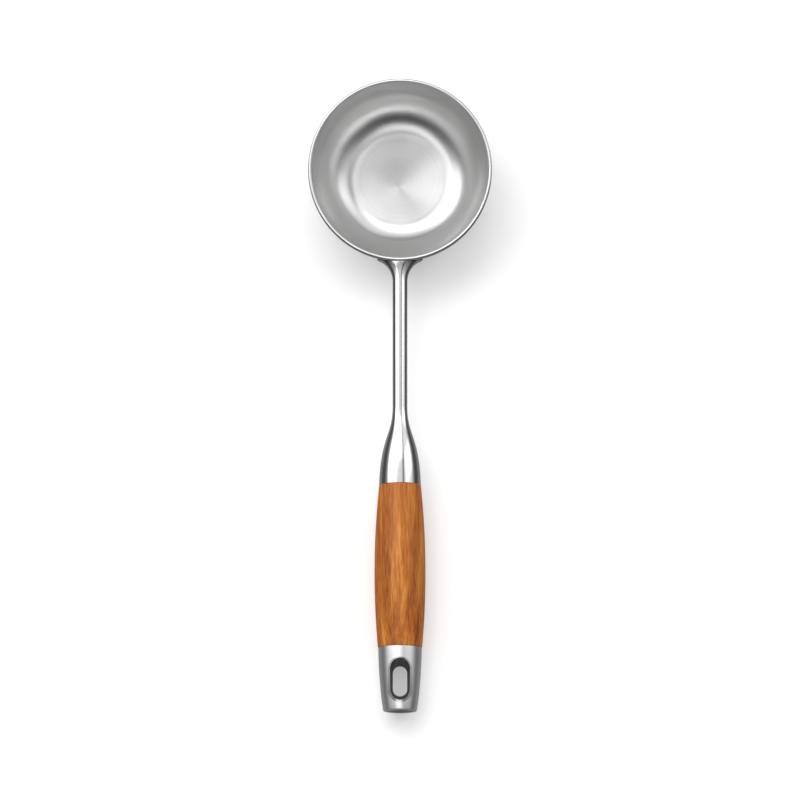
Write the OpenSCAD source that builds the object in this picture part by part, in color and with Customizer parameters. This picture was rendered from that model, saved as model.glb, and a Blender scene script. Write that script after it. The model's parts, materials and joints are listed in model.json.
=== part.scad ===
// Soup ladle: pressed bowl, forged shaft, ogee ferrule, wood grip and a metal end cap
// with a pressed-in hang slot. It lies as it settles on a table: the bowl's base corner
// and the handle touch the table. Millimetres, +Y to the bowl, +Z up.

/* [Bowl] */
// Outer diameter of the bowl over its lip
bowl_d = 95; // [86:1:110]
// Height of the bowl from lip to base
bowl_depth = 36; // [32:1:44]
// Diameter of the flat disc at the bowl's base
base_d = 46; // [36:1:54]
// Thickness of the bowl's sheet
bowl_wall = 1.2; // [0.8:0.1:1.6]
// Thickness of the rounded lip
lip_t = 1.8; // [1.7:0.1:2.6]

/* [Shaft] */
// Diameter of the shaft's rod
rod_d = 7.6; // [6.6:0.1:9]
// Length of the rod from the lip to the ferrule
rod_l = 76; // [60:1:100]
// Depth of the rod's centre line below the top of the lip
rod_drop = 6.4; // [5.6:0.1:8]
// Angle by which the handle rises from the plane of the lip
handle_rise = 4; // [2:0.5:8]
// Radius of the hollow curve where the rod flares into its foot
foot_fillet = 10; // [8:0.5:12]
// Largest radius of the foot that is welded to the bowl
foot_r = 11.4; // [10:0.2:13]
// Diameter of the thin tang behind the rod
tang_d = 5.6; // [4.4:0.1:6.2]

/* [Ferrule] */
// Length of the ferrule
ferrule_l = 41; // [36:1:50]
// Diameter of the ferrule's mouth
ferrule_d = 21.4; // [19:0.2:24]
// Length of solid metal round the tang at the ferrule's narrow end
ferrule_solid = 17; // [15:0.5:20]
// Thickness of the ferrule's wall and of the end cap's wall
shell_wall = 1.4; // [1:0.1:1.8]
// Thickness of the ring in the ferrule's mouth
insert_t = 4; // [3:0.5:6]

/* [Grip] */
// Length of the wood grip
grip_l = 83.5; // [70:0.5:110]
// Diameter of the grip at the ferrule
grip_front_d = 21.5; // [19:0.1:24]
// Diameter of the grip at the end cap
grip_back_d = 22.6; // [20:0.1:25]
// Height by which the grip's sides bulge at mid length
grip_bulge = 2; // [0.5:0.1:3]
// Clearance of the bore round the tang
bore_gap = 0.1; // [0.05:0.05:0.3]

/* [End cap] */
// Length of the end cap
cap_l = 32.5; // [31:0.5:42]
// Diameter of the end cap at the grip
cap_d = 22.2; // [21:0.1:25]
// Diameter of the end cap at the tail
cap_end_d = 16.4; // [15.6:0.1:19]
// Radius of the rounded edge at the tail
cap_edge = 0.8; // [0.4:0.1:1.2]
// Thickness of the threaded nut in the cap's mouth
nut_t = 4.5; // [3.5:0.5:5]
// Thickness of the disc that closes the tail
end_disc_t = 1.6; // [1:0.1:2]

/* [Hang slot] */
// Distance from the cap's mouth to the middle of the slot
slot_at = 17.2; // [17:0.1:18]
// Width of the slot at the surface
slot_w = 10.3; // [9:0.1:10.6]
// Length of the slot at the surface
slot_l = 21.5; // [19:0.1:21.5]
// Width of the slot at mid depth
throat_w = 7.3; // [6:0.1:8]
// Length of the slot at mid depth
throat_l = 15.3; // [13:0.1:17]
// Thickness of the sleeve's rim round the slot
sleeve_t = 0.8; // [0.5:0.1:1]

/* [Hidden] */
$fn = 96;
STEPS = 20;          // points along each curved outline
PLATE = 0.01;        // thin plates that a hull joins
PAST = 1;            // how far a cut runs past the metal
SEARCH = 40;         // halvings in the search for the resting angle

rim_r = bowl_d / 2;
base_r = base_d / 2;
lip_r = lip_t / 2;
rod_r = rod_d / 2;
tang_r = tang_d / 2;
mouth_r = ferrule_d / 2;
cap_r = cap_d / 2;
cap_end_r = cap_end_d / 2;

grip_z = rod_l + ferrule_l;
cap_z = grip_z + grip_l;
tail_z = cap_z + cap_l;
insert_r = mouth_r - shell_wall;
nut_r = cap_r - shell_wall;
disc_r = cap_end_r - shell_wall;
tang_end = cap_z + nut_t;

function mix(a, b, t) = a + (b - a) * t;
function bezier(p, t) = p[0] * pow(1 - t, 3) + p[1] * 3 * t * pow(1 - t, 2)
    + p[2] * 3 * t * t * (1 - t) + p[3] * pow(t, 3);

// Outlines are lists of [radius, height]. The bowl's side is a quarter ellipse from lip to base disc.
function bowl_side(wall) = [for (i = [0:STEPS]) let (a = 90 * i / STEPS)
    [base_r + (rim_r - wall - base_r) * cos(a),
     -lip_r - (bowl_depth - lip_r - wall) * sin(a)]];

// The ferrule's ogee: hollow at the rod, full at the mouth.
function ferrule_side() = [for (i = [0:STEPS]) bezier([[rod_r, 0],
    [rod_r, ferrule_l * 0.354], [mouth_r * 0.944, ferrule_l * 0.378], [mouth_r, ferrule_l]], i / STEPS)];

function grip_side() = [for (i = [0:STEPS]) let (t = i / STEPS)
    [mix(grip_front_d, grip_back_d, t) / 2 + grip_bulge * 4 * t * (1 - t), grip_l * t]];

function cap_side(wall) = [for (i = [0:STEPS]) bezier([[cap_r - wall, 0], [cap_r - wall - 0.2, cap_l * 0.37],
    [cap_end_r - wall + 1.7, cap_l * 0.74], [cap_end_r - wall + 0.4, cap_l - cap_edge]], i / STEPS)];

function cap_outline() = concat(cap_side(0), [for (a = [30:30:90])
    [cap_end_r + 0.4 - cap_edge * (1 - cos(a)), cap_l - cap_edge * (1 - sin(a))]]);

function raised(side, z) = [for (p = side) [p[0], p[1] + z]];

// The handle's whole outline, along its own line from the lip.
handle_side = concat([[rod_r, rod_l / 2]], raised(ferrule_side(), rod_l),
    raised(grip_side(), grip_z), raised(cap_outline(), cap_z));

// A handle point [y, z] in the bowl's frame, where side is 1 above its line and -1 below it.
function handle_point(p, side) =
    [-rim_r - p[1] * cos(handle_rise) + side * p[0] * sin(handle_rise),
     -rod_drop + p[1] * sin(handle_rise) + side * p[0] * cos(handle_rise)];
function turned(p, tilt) = [p[0] * cos(tilt) - p[1] * sin(tilt), p[0] * sin(tilt) + p[1] * cos(tilt)];

// Lowest points of the bowl and of the handle once the ladle is tipped down at the tail.
function bowl_low(tilt) = min([for (p = bowl_side(0)) turned([-p[0], p[1]], tilt)[1]]);
function handle_low(tilt) = min([for (p = handle_side) turned(handle_point(p, -1), tilt)[1]]);
function rest_tilt(low, high, left) = let (middle = (low + high) / 2)
    left == 0 ? middle
    : handle_low(middle) > bowl_low(middle) ? rest_tilt(middle, high, left - 1)
    : rest_tilt(low, middle, left - 1);

tilt = rest_tilt(0, 40, SEARCH);
lip_front = turned([rim_r - lip_r, -lip_r], tilt)[0] + lip_r;
front_y = max(concat([lip_front], [for (p = bowl_side(0)) turned([p[0], p[1]], tilt)[0]]));
back_y = min([for (p = handle_side) for (side = [-1, 1]) turned(handle_point(p, side), tilt)[0]]);
lift = -bowl_low(tilt);

echo(tilt = tilt, shift_y = -(front_y + back_y) / 2, lift = lift, length = front_y - back_y);

module posed() {
    translate([0, -(front_y + back_y) / 2, lift]) rotate([tilt, 0, 0]) children();
}

// Handle pieces are turned about +Z, which runs to the tail, and their +Y is the handle's upper side.
module on_handle(z) {
    posed() translate([0, -rim_r, -rod_drop]) rotate([90 - handle_rise, 0, 0]) translate([0, 0, z]) children();
}

module spun(side, low, high) {
    rotate_extrude() polygon(concat([[0, low]], side, [[0, high]]));
}

module bowl_outer() {
    rotate_extrude() polygon(concat([[0, -lip_r]], bowl_side(0), [[0, -bowl_depth]]));
}

// The lip is a round bead over the sheet's edge. It ends where it meets the sheet's inner face.
module bowl() {
    inner = bowl_side(bowl_wall);
    bead_end = 360 - acos((lip_r - bowl_wall) / lip_r);
    bead = [for (i = [0:STEPS]) let (a = bead_end * i / STEPS)
        [rim_r - lip_r + lip_r * cos(a), -lip_r + lip_r * sin(a)]];
    bead_low = bead[STEPS][1];
    color("gainsboro") posed() rotate_extrude() polygon(concat([[0, -bowl_depth]],
        [for (i = [STEPS:-1:1]) bowl_side(0)[i]], bead, [for (p = inner) if (p[1] < bead_low - PLATE) p],
        [[0, bowl_wall - bowl_depth]]));
}

module foot_outline() {
    deep = foot_fillet * 0.6;
    reach = [for (i = [0:STEPS]) let (d = foot_fillet * i / STEPS)
        [min(foot_r, rod_r + foot_fillet - sqrt(pow(foot_fillet, 2) - pow(foot_fillet - d, 2))), d]];
    polygon(concat([[0, -deep], [foot_r, -deep]], reach, [[rod_r, rod_l], [tang_r, rod_l],
        [tang_r, tang_end], [0, tang_end]]));
}

module shaft() {
    color("silver") difference() {
        on_handle(0) rotate_extrude() foot_outline();
        posed() bowl_outer();
        posed() translate([-rim_r, -rim_r - foot_fillet, -lip_t]) cube([bowl_d, bowl_d, foot_r * 2]);
    }
}

module ferrule() {
    side = ferrule_side();
    color("silver") on_handle(rod_l) difference() {
        spun(side, 0, ferrule_l);
        translate([0, 0, -PAST]) cylinder(r = tang_r, h = ferrule_l + PAST);
        rotate_extrude() polygon(concat([[0, ferrule_solid]],
            [for (p = side) if (p[1] > ferrule_solid && p[1] < ferrule_l - insert_t) [p[0] - shell_wall, p[1]]],
            [[insert_r, ferrule_l - insert_t], [insert_r, ferrule_l + PAST], [0, ferrule_l + PAST]]));
    }
}

module ferrule_insert() {
    color("dimgray") on_handle(grip_z - insert_t) difference() {
        cylinder(r = insert_r, h = insert_t);
        translate([0, 0, -PAST]) cylinder(r = tang_r, h = insert_t + 2 * PAST);
    }
}

module wood_grip() {
    color("peru") on_handle(grip_z) difference() {
        spun(grip_side(), 0, grip_l);
        translate([0, 0, -PAST]) cylinder(r = tang_r + bore_gap, h = grip_l + 2 * PAST);
    }
}

// A stadium across the handle, through it from side to side.
module stadium(length, width, depth) {
    rotate([90, 0, 0]) linear_extrude(depth, center = true) {
        square([width, length - width], center = true);
        for (end = [-1, 1]) translate([0, end * (length - width) / 2]) circle(d = width);
    }
}

module slot_flare() {
    for (side = [-1, 1]) hull() {
        stadium(throat_l, throat_w, PLATE, $fn = 32);
        translate([0, side * cap_r, 0]) stadium(slot_l + 0.4, slot_w + 0.4, PLATE, $fn = 32);
    }
}

module end_cap() {
    color("silver") on_handle(cap_z) difference() {
        spun(cap_outline(), 0, cap_l);
        translate([0, 0, -PAST]) cylinder(r = nut_r, h = nut_t + PAST);
        rotate_extrude() polygon(concat([[0, nut_t - PLATE]],
            [for (p = cap_side(shell_wall)) if (p[1] > nut_t && p[1] < cap_l - end_disc_t) p],
            [[disc_r, cap_l - end_disc_t], [disc_r, cap_l + PAST], [0, cap_l + PAST]]));
        translate([0, 0, slot_at]) stadium(slot_l + 2 * sleeve_t, slot_w + 2 * sleeve_t, cap_d + PAST);
    }
}

module cap_nut() {
    color("dimgray") on_handle(cap_z) difference() {
        cylinder(r = nut_r, h = nut_t);
        translate([0, 0, -PAST]) cylinder(r = tang_r, h = nut_t + 2 * PAST);
    }
}

module slot_sleeve() {
    color("gray") on_handle(cap_z) difference() {
        intersection() {
            spun(cap_outline(), 0, cap_l);
            translate([0, 0, slot_at])
                stadium(slot_l + 2 * sleeve_t, slot_w + 2 * sleeve_t, cap_d + PAST);
        }
        translate([0, 0, slot_at]) slot_flare();
    }
}

module end_disc() {
    color("gray") on_handle(tail_z - end_disc_t) cylinder(r = disc_r, h = end_disc_t);
}

bowl();
shaft();
ferrule();
ferrule_insert();
wood_grip();
end_cap();
cap_nut();
slot_sleeve();
end_disc();
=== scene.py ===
# %% [markdown]
# A soup ladle: a pressed steel bowl, a slim steel shaft, an ogee ferrule, a turned wood grip and an end cap
# with a slot to hang it by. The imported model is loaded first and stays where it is. Everything made below is
# set against it, in the same frame and in metres.

# %% Load the fixed frame
import json
import math

import bpy
from mathutils import Matrix, Vector


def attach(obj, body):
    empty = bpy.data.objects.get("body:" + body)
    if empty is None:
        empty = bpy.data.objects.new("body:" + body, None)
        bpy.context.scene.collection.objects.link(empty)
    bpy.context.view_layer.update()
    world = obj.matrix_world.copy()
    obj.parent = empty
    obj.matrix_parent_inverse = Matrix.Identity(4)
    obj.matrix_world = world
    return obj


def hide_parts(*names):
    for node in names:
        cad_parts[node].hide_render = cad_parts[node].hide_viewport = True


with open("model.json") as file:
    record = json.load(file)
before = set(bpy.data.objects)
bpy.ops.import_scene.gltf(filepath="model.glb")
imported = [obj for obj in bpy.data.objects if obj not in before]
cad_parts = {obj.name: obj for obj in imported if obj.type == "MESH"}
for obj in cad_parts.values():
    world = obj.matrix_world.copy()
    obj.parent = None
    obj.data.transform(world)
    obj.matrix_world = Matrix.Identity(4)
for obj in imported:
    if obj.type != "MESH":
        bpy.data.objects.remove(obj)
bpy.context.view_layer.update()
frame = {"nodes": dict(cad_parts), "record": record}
print("nodes", sorted(frame["nodes"]))

# %% [markdown]
# On a table the ladle tips back until its handle touches, so the bowl isn't level. The tilt could be typed
# in, but it is safer to read it from the model. The mount on the base disc gives the base's place and its
# axis, which points out of the base, so the bowl opens the other way. The handle's line starts under the
# lip and rises a little from the lip's plane.

# %% Sizes in metres, and the two frames that the turned pieces are made in
RIM_R = 0.0475
BASE_R = 0.023
BOWL_DEPTH = 0.036
BOWL_WALL = 0.0012
LIP_R = 0.0009
ROD_R = 0.0038
ROD_DROP = 0.0064
ROD_L = 0.076
HANDLE_RISE = math.radians(4)
TANG_R = 0.0028
FERRULE_L = 0.041
FERRULE_R = 0.0107
GRIP_L = 0.0835
GRIP_FRONT_R = 0.01075
GRIP_BACK_R = 0.0113
GRIP_BULGE = 0.002
NUT_T = 0.0045
SKIN = 0.00001  # the turned pieces lie this far inside the solids they stand for

base_mount = next(m for m in frame["record"]["mounts"] if m["name"] == "bowl_base")
base_out = Vector(base_mount["axis"]).normalized()
tilt = math.atan2(base_out.y, -base_out.z)
lip_centre = Vector(base_mount["pos_m"]) - base_out * BOWL_DEPTH
bowl_place = Matrix.Translation(lip_centre) @ Matrix.Rotation(tilt, 4, "X")
handle_place = (bowl_place @ Matrix.Translation((0, -RIM_R, -ROD_DROP))
                @ Matrix.Rotation(math.radians(90) - HANDLE_RISE, 4, "X"))
print("tilt in degrees", round(math.degrees(tilt), 2))

# %% [markdown]
# The bowl, the ferrule and the grip are bodies of revolution, as they are when they come off the lathe.
# A cylinder could be extruded and scaled into them, but that leaves flat bands. Here an outline of a few
# points is turned about its axis by a Screw modifier, which is then applied, so the walls are smooth and
# have their true thickness.

# %% A lathe for outlines of (radius, height)
TURNS = 128
MERGE = 0.000001
SMOOTH_BELOW = math.radians(35)


def pick(piece):
    bpy.ops.object.select_all(action="DESELECT")
    bpy.context.view_layer.objects.active = piece
    piece.select_set(True)


def turned(name, outline, place, reshape=None):
    mesh = bpy.data.meshes.new(name)
    points = [(radius, 0, height) for radius, height in outline]
    mesh.from_pydata(points, [(i, i + 1) for i in range(len(points) - 1)], [])
    piece = bpy.data.objects.new(name, mesh)
    bpy.context.collection.objects.link(piece)
    pick(piece)
    screw = piece.modifiers.new("lathe", "SCREW")
    screw.steps = screw.render_steps = TURNS
    screw.use_merge_vertices = True
    screw.merge_threshold = MERGE
    bpy.ops.object.modifier_apply(modifier="lathe")
    bpy.ops.object.mode_set(mode="EDIT")
    bpy.ops.mesh.select_all(action="SELECT")
    bpy.ops.mesh.remove_doubles(threshold=MERGE)
    bpy.ops.mesh.normals_make_consistent(inside=False)
    bpy.ops.object.mode_set(mode="OBJECT")
    if reshape:
        for vertex in piece.data.vertices:
            vertex.co = reshape(vertex.co)
    piece.data.transform(place)
    bpy.ops.object.shade_smooth_by_angle(angle=SMOOTH_BELOW)
    print(name, "faces", len(piece.data.polygons))
    return piece


def bezier(points, t):
    weights = ((1 - t) ** 3, 3 * t * (1 - t) ** 2, 3 * t * t * (1 - t), t ** 3)
    return tuple(sum(w * p[k] for w, p in zip(weights, points)) for k in (0, 1))


# %% [markdown]
# The bowl is pressed from sheet. Its side is a quarter ellipse from the lip to the flatter disc at the
# base, and its edge is dressed to a round bead. A Solidify modifier could give the wall, but it would leave
# the edge square. So the outline runs once round the sheet: under the base, up outside, over the bead, down
# inside and across the disc.

# %% Turn the bowl
SIDE_STEPS = 64
BEAD_STEPS = 24
DISH = 0.0008  # the disc's upper face is very slightly hollow
DISH_STEPS = 16


def bowl_side(wall, inset):
    reach = RIM_R - wall - BASE_R - inset
    fall = BOWL_DEPTH - LIP_R - wall - inset
    angles = [math.radians(90) * i / SIDE_STEPS for i in range(SIDE_STEPS + 1)]
    return [(BASE_R + reach * math.cos(a), -LIP_R - fall * math.sin(a)) for a in angles]


bead_end = 2 * math.pi - math.acos((LIP_R - BOWL_WALL) / LIP_R)
bead_r = LIP_R - SKIN
bead_angles = [bead_end * i / BEAD_STEPS for i in range(BEAD_STEPS + 1)]
bead = [(RIM_R - LIP_R + bead_r * math.cos(a), -LIP_R + bead_r * math.sin(a)) for a in bead_angles]
bead_low = bead[-1][1]
outer = bowl_side(0, SKIN)
inner = [p for p in bowl_side(BOWL_WALL, 0) if p[1] < bead_low - SKIN]
floor_level = inner[-1][1]
dish_ways = [1 - i / DISH_STEPS for i in range(1, DISH_STEPS + 1)]
dish = [(BASE_R * way, floor_level - DISH * (1 - way ** 2)) for way in dish_ways]
bowl_outline = [(0, outer[-1][1])] + outer[:0:-1] + bead + inner + dish
bowl = turned("bowl_shell", bowl_outline, bowl_place)
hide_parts("bowl")
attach(bowl, "root")

# %% [markdown]
# The ferrule is hollow where it leaves the rod and full where it meets the wood. That is an ogee, and one
# Bezier curve draws it. The grip swells to its middle, which a parabola gives. Each has a small broken
# edge, an arris, at its joint, because a sharp corner catches no light.

# %% Turn the ferrule and the grip
CURVE_STEPS = 60
ARRIS = 0.00035
FIRST_CONTROL_AT = 0.354   # share of the ferrule's length at which the curve's first control point lies
SECOND_CONTROL_AT = 0.378  # the same for the second control point
SECOND_CONTROL_R = 0.944   # the second control point's radius, as a share of the mouth's

ferrule_controls = ((ROD_R - SKIN, 0), (ROD_R - SKIN, FERRULE_L * FIRST_CONTROL_AT),
                    (FERRULE_R * SECOND_CONTROL_R, FERRULE_L * SECOND_CONTROL_AT),
                    (FERRULE_R - SKIN, FERRULE_L - ARRIS))
ferrule_curve = [bezier(ferrule_controls, i / CURVE_STEPS) for i in range(CURVE_STEPS + 1)]
ferrule_outline = ([(TANG_R, 0)] + ferrule_curve
                   + [(FERRULE_R - ARRIS, FERRULE_L), (TANG_R, FERRULE_L), (TANG_R, 0)])
ferrule_place = handle_place @ Matrix.Translation((0, 0, ROD_L))
ferrule = turned("ferrule_collar", ferrule_outline, ferrule_place)
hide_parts("ferrule")
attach(ferrule, "root")


def grip_radius(t):
    return GRIP_FRONT_R + (GRIP_BACK_R - GRIP_FRONT_R) * t + GRIP_BULGE * 4 * t * (1 - t) - SKIN


arris_t = ARRIS / GRIP_L
grip_steps = [arris_t + (1 - 2 * arris_t) * i / CURVE_STEPS for i in range(CURVE_STEPS + 1)]
grip_side = [(grip_radius(t), GRIP_L * t) for t in grip_steps]
grip_outline = ([(TANG_R, 0), (grip_radius(0) - ARRIS, 0)] + grip_side
                + [(grip_radius(1) - ARRIS, GRIP_L), (TANG_R, GRIP_L), (TANG_R, 0)])
grip = turned("grip_barrel", grip_outline, ferrule_place @ Matrix.Translation((0, 0, FERRULE_L)))
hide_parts("wood_grip")
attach(grip, "root")

# %% [markdown]
# The shaft is one forging: a round rod whose end is drawn out into a wide, low foot, and whose tail is the
# thin tang inside the grip. The foot could be built from loops of faces bridged to the bowl, but the seam
# would be hard to fit. So it is turned as a trumpet, flattened above and below the rod's line, and cut to
# the bowl's outer face with a Boolean, as the real foot is ground to fit the bowl before it is welded.

# %% Forge the shaft and its foot
FOOT_CURVE = 0.0115
FOOT_START = 0.0015
FOOT_DEEP = 0.006
FOOT_STEPS = 40
FOOT_LIMIT = 0.95  # the flare stops a little short of a full quarter turn
FLAT_ABOVE = 0.12
FLAT_BELOW = 0.6
SHAFT_END = ROD_L + FERRULE_L + GRIP_L + NUT_T


def foot_radius(along):
    left = max(0.0, FOOT_CURVE - FOOT_START - along)
    return ROD_R - SKIN + FOOT_CURVE - math.sqrt(FOOT_CURVE ** 2 - min(left, FOOT_CURVE * FOOT_LIMIT) ** 2)


def flatten(point):
    spread = max(0.0, math.hypot(point.x, point.y) - ROD_R)
    if spread == 0 or point.z > FOOT_CURVE:
        return point
    share = point.y / math.hypot(point.x, point.y)
    flat = FLAT_ABOVE if share > 0 else FLAT_BELOW
    return Vector((point.x, share * (ROD_R + spread * flat), point.z))


foot_reach = FOOT_DEEP + FOOT_CURVE - FOOT_START
foot_heights = [-FOOT_DEEP + foot_reach * i / FOOT_STEPS for i in range(FOOT_STEPS + 1)]
foot_side = [(foot_radius(z), z) for z in foot_heights]
tang_side = [(ROD_R - SKIN, ROD_L), (TANG_R - SKIN, ROD_L), (TANG_R - SKIN, SHAFT_END)]
shaft_outline = [(0, -FOOT_DEEP)] + foot_side + tang_side + [(0, SHAFT_END)]
shaft = turned("shaft_forging", shaft_outline, handle_place, flatten)
cutter_outline = [(0, 0), (RIM_R, 0)] + bowl_side(0, 0) + [(0, -BOWL_DEPTH)]
bowl_cutter = turned("bowl_cutter", cutter_outline, bowl_place)
pick(shaft)
grind = shaft.modifiers.new("grind_to_bowl", "BOOLEAN")
grind.operation = "DIFFERENCE"
grind.object = bowl_cutter
bpy.ops.object.modifier_apply(modifier="grind_to_bowl")
bpy.data.objects.remove(bowl_cutter, do_unlink=True)
bpy.ops.object.shade_smooth_by_angle(angle=SMOOTH_BELOW)
print("shaft faces after the cut", len(shaft.data.polygons))
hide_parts("shaft")
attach(shaft, "root")

# %% [markdown]
# Shader maths reads better as sums and products than as boxes and wires. Value wraps one socket, and each
# operator adds the Math node that it stands for. Finish owns a node tree and makes every other node.

# %% Write materials as expressions


class Value:
    def __init__(self, finish, socket):
        self.finish = finish
        self.socket = socket

    def combine(self, operation, first, second):
        node = self.finish.node("ShaderNodeMath", {"operation": operation}, {0: first, 1: second})
        return Value(self.finish, node.outputs[0])

    def __add__(self, other):
        return self.combine("ADD", self, other)

    def __sub__(self, other):
        return self.combine("SUBTRACT", self, other)

    def __rsub__(self, other):
        return self.combine("SUBTRACT", other, self)

    def __mul__(self, other):
        return self.combine("MULTIPLY", self, other)

    __radd__ = __add__
    __rmul__ = __mul__


class Finish:
    def __init__(self, owner):
        owner.use_nodes = True
        self.tree = owner.node_tree
        self.tree.nodes.clear()

    def node(self, kind, settings=None, values=None):
        made = self.tree.nodes.new(kind)
        for key, setting in (settings or {}).items():
            setattr(made, key, setting)
        for key, value in (values or {}).items():
            if isinstance(value, Value):
                self.tree.links.new(value.socket, made.inputs[key])
            else:
                made.inputs[key].default_value = value
        return made

    def take(self, made, output=0):
        return Value(self, made.outputs[output])

    def ramp(self, factor, stops):
        made = self.node("ShaderNodeValToRGB", None, {"Fac": factor})
        while len(made.color_ramp.elements) < len(stops):
            made.color_ramp.elements.new(0.5)
        for element, (place, colour) in zip(made.color_ramp.elements, stops):
            element.position = place
            element.color = (*colour, 1)
        return self.take(made)

    def coordinates(self, turn=(0, 0, 0), centre=(0, 0, 0), scale=(1, 1, 1)):
        place = self.take(self.node("ShaderNodeTexCoord"), "Object")
        moved = self.node("ShaderNodeVectorMath", {"operation": "SUBTRACT"}, {0: place, 1: centre})
        return self.take(self.node("ShaderNodeMapping", None,
                                   {"Vector": self.take(moved), "Rotation": turn, "Scale": scale}))

    def noise(self, vector, scale, detail=3.0, rough=0.5):
        return self.take(self.node("ShaderNodeTexNoise", None, {
            "Vector": vector, "Scale": scale, "Detail": detail, "Roughness": rough}), "Fac")

    def bump(self, height, strength=1.0, distance=1.0):
        return self.take(self.node("ShaderNodeBump", None, {
            "Height": height, "Strength": strength, "Distance": distance}), "Normal")

    def surface(self, values):
        shader = self.node("ShaderNodeBsdfPrincipled", None, values)
        self.node("ShaderNodeOutputMaterial", None, {"Surface": self.take(shader)})


def greys(stops):
    return [(place, (shade,) * 3) for place, shade in stops]


def dress(piece, material):
    if not piece.material_slots:
        piece.data.materials.append(material)
    for slot in piece.material_slots:
        slot.material = material
    print(piece.name, "wears", material.name)


# %% [markdown]
# The bowl is brushed on a spinning chuck, so its scratches are rings. An image of rings would need a UV map.
# Instead the radius is worked out about the bowl's own axis, and noise along that radius gives the rings.
# Brushing also stretches a highlight across the scratches, which is the shader's anisotropy. Pressed sheet
# is never quite true, so a slow waviness in the bump bends the reflections a little.

# %% Circular brushed steel
RING_SCALE = 1500.0
BAND_SCALE = 160.0
WAVE_SCALE = 32.0
RING_HEIGHT = 0.0000036
WAVE_HEIGHT = 0.0014


def ring_brushed(name):
    material = bpy.data.materials.new(name)
    finish = Finish(material)
    place = finish.coordinates(turn=(-tilt, 0, 0), centre=tuple(lip_centre))
    parts = finish.node("ShaderNodeSeparateXYZ", None, {"Vector": place})
    across = finish.node("ShaderNodeCombineXYZ", None, {
        "X": finish.take(parts, "X"), "Y": finish.take(parts, "Y"), "Z": 0.0})
    radius = finish.take(finish.node("ShaderNodeVectorMath", {"operation": "LENGTH"},
                                     {0: finish.take(across)}), "Value")
    ring_line = finish.take(finish.node("ShaderNodeCombineXYZ", None, {
        "X": radius, "Y": finish.take(parts, "Z"), "Z": 0.0}))
    rings = finish.noise(ring_line, RING_SCALE, detail=4.0, rough=0.7)
    bands = finish.noise(ring_line, BAND_SCALE, detail=2.0)
    waviness = finish.noise(place, WAVE_SCALE, detail=1.0)
    finish.surface({
        "Base Color": finish.ramp(rings, [(0.3, (0.68, 0.68, 0.68)), (0.7, (0.75, 0.75, 0.745))]),
        "Metallic": 1.0,
        "Roughness": 0.29 + bands * 0.08 + rings * 0.04,
        "Anisotropic": 0.6,
        "Normal": finish.bump(waviness * WAVE_HEIGHT + rings * RING_HEIGHT)})
    return material


dress(bowl, ring_brushed("steel_ring_brushed"))

# %% [markdown]
# The shaft and ferrule are polished, and the cap is satin. One function makes all the plain steels from a
# shade and a roughness. Faint smears change the roughness a little from place to place, so that the long
# reflections are not dead straight. The cap's steel is a lighter shade than the handle's, which is painted
# light against the dark tail side that the cap reflects. The wall of the slot and the end disc are a darker
# shade, which is painted shade for the shade in the slot and on the end face. The insert and the nut, which
# nobody sees, are dull as they come off the lathe.

# %% Plain steels
SMEAR_SCALE = 220.0
FINE_SCALE = 2400.0


def plain_steel(name, shade, roughness):
    material = bpy.data.materials.new(name)
    finish = Finish(material)
    smear = finish.noise(finish.coordinates(scale=(1, 0.15, 1)), SMEAR_SCALE)
    fine = finish.noise(finish.coordinates(scale=(1, 0.05, 1)), FINE_SCALE)
    finish.surface({
        "Base Color": finish.ramp(smear, [(0.3, (shade * 0.96,) * 3), (0.7, (shade, shade, shade * 1.01))]),
        "Metallic": 1.0,
        "Roughness": roughness + smear * 0.06,
        "Normal": finish.bump(fine, 0.08, 0.00003)})
    return material


handle_steel = plain_steel("steel_satin", 0.72, 0.15)
# The cap's lighter shade is painted light, against the dark tail side that it reflects.
cap_steel_painted_bright = plain_steel("steel_cap_painted_bright", 0.84, 0.34)
# The darker shade of the slot's wall and the end disc is painted shade, for the shade in the slot and on the
# end face.
slot_steel_painted_shade = plain_steel("steel_slot_painted_shade", 0.46, 0.20)
inner_steel = plain_steel("steel_turned", 0.42, 0.32)
for steel, pieces in ((handle_steel, (ferrule, shaft)),
                      (cap_steel_painted_bright, (frame["nodes"]["end_cap"],)),
                      (slot_steel_painted_shade, (frame["nodes"]["slot_sleeve"], frame["nodes"]["end_disc"])),
                      (inner_steel, (frame["nodes"]["ferrule_insert"], frame["nodes"]["cap_nut"]))):
    for piece in pieces:
        dress(piece, steel)

# %% [markdown]
# The wood's grain runs along the grip. A Wave texture would draw it too evenly. So the coordinates are
# squeezed along the handle before noise reads them: wide soft bands give the figure, and fine streaks give
# the pores, which are duller and lower than the wood between them.

# %% Oiled wood
GRAIN_STRETCH = 0.06
FIGURE_SCALE = 190.0
PORE_SCALE = 1500.0


def oiled_wood():
    material = bpy.data.materials.new("wood_oiled")
    finish = Finish(material)
    along = finish.coordinates(turn=(HANDLE_RISE - tilt, 0, 0), scale=(1, GRAIN_STRETCH, 1))
    figure = finish.noise(along, FIGURE_SCALE, detail=4.0, rough=0.6)
    pores = finish.noise(along, PORE_SCALE, detail=3.0, rough=0.65)
    grain = figure * 0.65 + pores * 0.35
    finish.surface({
        "Base Color": finish.ramp(grain, [(0.36, (0.17, 0.036, 0.003)), (0.45, (0.38, 0.100, 0.009)),
                                          (0.54, (0.54, 0.168, 0.018)), (0.64, (0.72, 0.285, 0.055))]),
        "Roughness": 0.52 - grain * 0.16,
        "Specular IOR Level": 0.3,
        "Coat Weight": 0.05,
        "Coat Roughness": 0.25,
        "Normal": finish.bump(pores, 0.22, 0.00012)})
    return material


dress(grip, oiled_wood())

# %% [markdown]
# The ladle lies on a white table, for which one plane is enough. The table is white to the camera by its
# colour and a little emission, and keeps the ladle's shadow. In reflections it is darker, most of all at
# the sides, because polished steel looks like steel only when it has something dark to show.

# %% Table
FLOOR_SIZE = 6.0
FLOOR_SHADE = 0.80
FLOOR_GLOW = 0.32
SIDE_SCALE = 5.0

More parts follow.
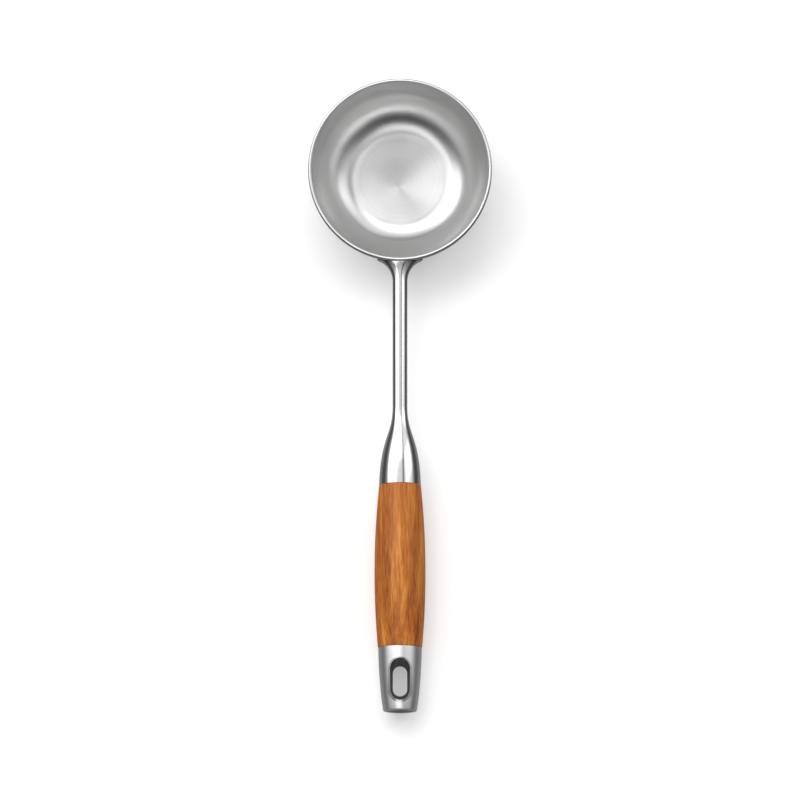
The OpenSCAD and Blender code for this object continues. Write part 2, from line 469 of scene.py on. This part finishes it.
bpy.ops.object.select_all(action="DESELECT")
bpy.ops.mesh.primitive_plane_add(size=FLOOR_SIZE, location=(0, 0, 0))
floor = bpy.context.object
floor.name = "table_top"
floor_material = bpy.data.materials.new("table_white")
floor_finish = Finish(floor_material)
rays = floor_finish.node("ShaderNodeLightPath")
floor_place = floor_finish.node("ShaderNodeSeparateXYZ", None, {"Vector": floor_finish.coordinates()})
side_way = floor_finish.take(floor_finish.node("ShaderNodeMath", {"operation": "ABSOLUTE"},
                                               {0: floor_finish.take(floor_place, "X")}))
in_reflection = floor_finish.ramp(side_way * SIDE_SCALE, greys([(0.10, 0.34), (0.32, 0.07)]))
floor_colour = floor_finish.node("ShaderNodeMix", {"data_type": "RGBA"}, {
    "Factor": floor_finish.take(rays, "Is Glossy Ray"), 6: (*(FLOOR_SHADE,) * 3, 1), 7: in_reflection})
floor_finish.surface({
    "Base Color": floor_finish.take(floor_colour, 2), "Roughness": 0.9, "Specular IOR Level": 0.0,
    "Emission Color": (1, 1, 1, 1),
    "Emission Strength": floor_finish.take(rays, "Is Camera Ray") * FLOOR_GLOW})
dress(floor, floor_material)

# %% [markdown]
# Four soft lamps stand round the ladle as they would in a studio. Area lamps are used because their
# reflections in steel are broad and soft, where a point lamp gives a hard dot. The left one is the
# strongest, so the shadow falls to the right.

# %% Lamps


def softbox(name, place, size_x, size_y, watts):
    lamp = bpy.data.lights.new(name, "AREA")
    lamp.shape = "RECTANGLE"
    lamp.size, lamp.size_y, lamp.energy = size_x, size_y, watts
    holder = bpy.data.objects.new(name, lamp)
    bpy.context.collection.objects.link(holder)
    holder.location = place
    holder.rotation_euler = (-Vector(place)).to_track_quat("-Z", "Y").to_euler()
    print(name, "watts", watts)


softbox("light_left", (-0.75, 0.45, 0.85), 0.9, 1.1, 5.0)
softbox("light_right", (0.95, 0.45, 0.75), 0.5, 1.0, 1.6)
softbox("light_tail", (-0.10, -0.38, 1.0), 0.8, 0.42, 1.5)
softbox("light_top", (-0.10, 0.60, 1.0), 0.7, 0.45, 2.5)

# %% [markdown]
# The room is the world's background. An even grey would make the bowl flat, so it is drawn from two ramps
# multiplied together: one by height, dark near the horizon, and one by length, dark on the tail's side.

# %% Room
ROOM_STRENGTH = 1.3
ROOM_BY_HEIGHT = [(0.0, 0.06), (0.20, 0.30), (0.45, 0.80), (0.9, 0.72)]
ROOM_BY_LENGTH = [(0.12, 0.05), (0.36, 0.30), (0.46, 0.52), (0.55, 1.0)]

world = bpy.data.worlds.new("soft_room")
bpy.context.scene.world = world
sky = Finish(world)
direction = sky.take(sky.node("ShaderNodeTexCoord"), "Generated")
way = sky.node("ShaderNodeSeparateXYZ", None, {"Vector": direction})
height = sky.ramp(sky.take(way, "Z"), greys(ROOM_BY_HEIGHT))
length = sky.ramp(sky.take(way, "Y") * 0.5 + 0.5, greys(ROOM_BY_LENGTH))
tone = sky.node("ShaderNodeMix", {"data_type": "RGBA", "blend_type": "MULTIPLY"},
                {"Factor": 1.0, 6: height, 7: length})
room = sky.node("ShaderNodeBackground", None, {"Color": sky.take(tone, 2), "Strength": ROOM_STRENGTH})
sky.node("ShaderNodeOutputWorld", None, {"Surface": sky.take(room)})
print("room nodes", len(world.node_tree.nodes))

# %% [markdown]
# Dark cards beside the light give polished metal the thin dark lines that show its roundness. They are
# seen only in reflections, so they cast no shadow and do not show on the table. Each is placed by the
# angle from the zenith at which the ladle sees its two edges.

# %% Dark cards for the reflections
CARD_HEIGHT = 0.6
CARD_LENGTH = 1.6
CARD_ALONG = -0.15
card_material = bpy.data.materials.new("card_dark")
card_finish = Finish(card_material)
card_finish.surface({"Base Color": (0.03, 0.03, 0.03, 1), "Roughness": 1.0, "Specular IOR Level": 0.0})


def dark_card(name, from_degrees, to_degrees):
    left = CARD_HEIGHT * math.tan(math.radians(from_degrees))
    right = CARD_HEIGHT * math.tan(math.radians(to_degrees))
    bpy.ops.object.select_all(action="DESELECT")
    bpy.ops.mesh.primitive_plane_add(size=1, location=((left + right) / 2, CARD_ALONG, CARD_HEIGHT))
    card = bpy.context.object
    card.name = name
    card.scale = (right - left, CARD_LENGTH, 1)
    bpy.ops.object.transform_apply(location=False, rotation=False, scale=True)
    for ray in ("visible_camera", "visible_diffuse", "visible_shadow", "visible_transmission"):
        setattr(card, ray, False)
    dress(card, card_material)


dark_card("card_right", 14, 22)
dark_card("card_left", -35.5, -33)

# %% [markdown]
# The view looks down on the ladle from the tail's side with a long lens, which keeps the bowl round. The
# camera is aimed at the point of the handle that lies at the picture's centre, and its lens is worked out
# from the size of one pixel, so the ladle fills the picture as it should.

# %% Camera
VIEW_ELEVATION = math.radians(75.9)
CAMERA_DISTANCE = 2.5
SENSOR_WIDTH = 36  # millimetres, as Blender counts it
METRES_PER_PIXEL = 0.000514
PICTURE_PIXELS = 800
CENTRE_ALONG = 0.0723  # from the lip to the picture's centre, along the handle
FAR_CLIP = 20

aim_point = handle_place @ Vector((0, 0, CENTRE_ALONG))
camera_data = bpy.data.cameras.new("camera")
camera_data.sensor_width = SENSOR_WIDTH
camera_data.lens = SENSOR_WIDTH * CAMERA_DISTANCE / (METRES_PER_PIXEL * PICTURE_PIXELS)
camera_data.clip_end = FAR_CLIP
camera = bpy.data.objects.new("camera", camera_data)
bpy.context.collection.objects.link(camera)
camera_way = Vector((0, -math.cos(VIEW_ELEVATION), math.sin(VIEW_ELEVATION)))
camera.location = aim_point + camera_way * CAMERA_DISTANCE
camera.rotation_euler = (-camera_way).to_track_quat("-Z", "Y").to_euler()
bpy.context.scene.camera = camera
bpy.context.scene.view_settings.view_transform = "Standard"
print("lens in millimetres", round(camera_data.lens, 1))
